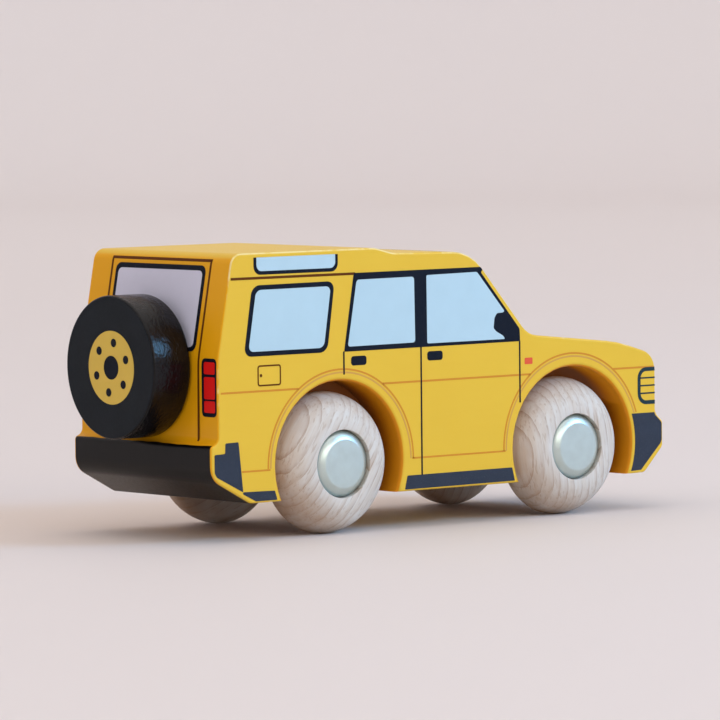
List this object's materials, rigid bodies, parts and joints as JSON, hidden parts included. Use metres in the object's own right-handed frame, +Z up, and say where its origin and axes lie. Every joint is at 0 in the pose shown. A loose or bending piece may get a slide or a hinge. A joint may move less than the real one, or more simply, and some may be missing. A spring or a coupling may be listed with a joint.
{
  "type": "wooden toy off-road car",
  "caption": "Boxy toy off-road car: a profiled painted wooden block on steel axles, with free-spinning turned wooden wheels and a spare wheel on the tail.",
  "frame": {"origin": "on the floor under the middle of the overall box, spare wheel included", "axes": "+X forward to the bonnet, +Y to the car's left along the axles, +Z up"},
  "size_m": [0.1442, 0.0532, 0.064],
  "materials": {
    "yellow_paint": "satin painted wood",
    "black_paint": "semi-gloss painted wood",
    "bare_wood": "sanded bare beech",
    "zinc_steel": "bright zinc plate"
  },
  "bodies": {
    "car_body": {"body_block": "yellow_paint", "spare_wheel": "black_paint", "spare_wheel_dowel": "bare_wood", "front_axle": "zinc_steel", "rear_axle": "zinc_steel", "hub_cap_front_left": "zinc_steel", "hub_cap_front_right": "zinc_steel", "hub_cap_rear_left": "zinc_steel", "hub_cap_rear_right": "zinc_steel", "star_washer_front_left": "zinc_steel", "star_washer_front_right": "zinc_steel", "star_washer_rear_left": "zinc_steel", "star_washer_rear_right": "zinc_steel"},
    "front_left_wheel": {"wheel_front_left": "bare_wood"},
    "front_right_wheel": {"wheel_front_right": "bare_wood"},
    "rear_left_wheel": {"wheel_rear_left": "bare_wood"},
    "rear_right_wheel": {"wheel_rear_right": "bare_wood"}
  },
  "joints": [
    {"name": "front_left_spin", "type": "hinge", "parent": "car_body", "child": "front_left_wheel", "pos_m": [0.0438, 0.02115, 0.016], "axis": [0, 1, 0], "continuous": true},
    {"name": "front_right_spin", "type": "hinge", "parent": "car_body", "child": "front_right_wheel", "pos_m": [0.0438, -0.02115, 0.016], "axis": [0, 1, 0], "continuous": true},
    {"name": "rear_left_spin", "type": "hinge", "parent": "car_body", "child": "rear_left_wheel", "pos_m": [-0.0266, 0.02115, 0.016], "axis": [0, 1, 0], "continuous": true},
    {"name": "rear_right_spin", "type": "hinge", "parent": "car_body", "child": "rear_right_wheel", "pos_m": [-0.0266, -0.02115, 0.016], "axis": [0, 1, 0], "continuous": true}
  ]
}
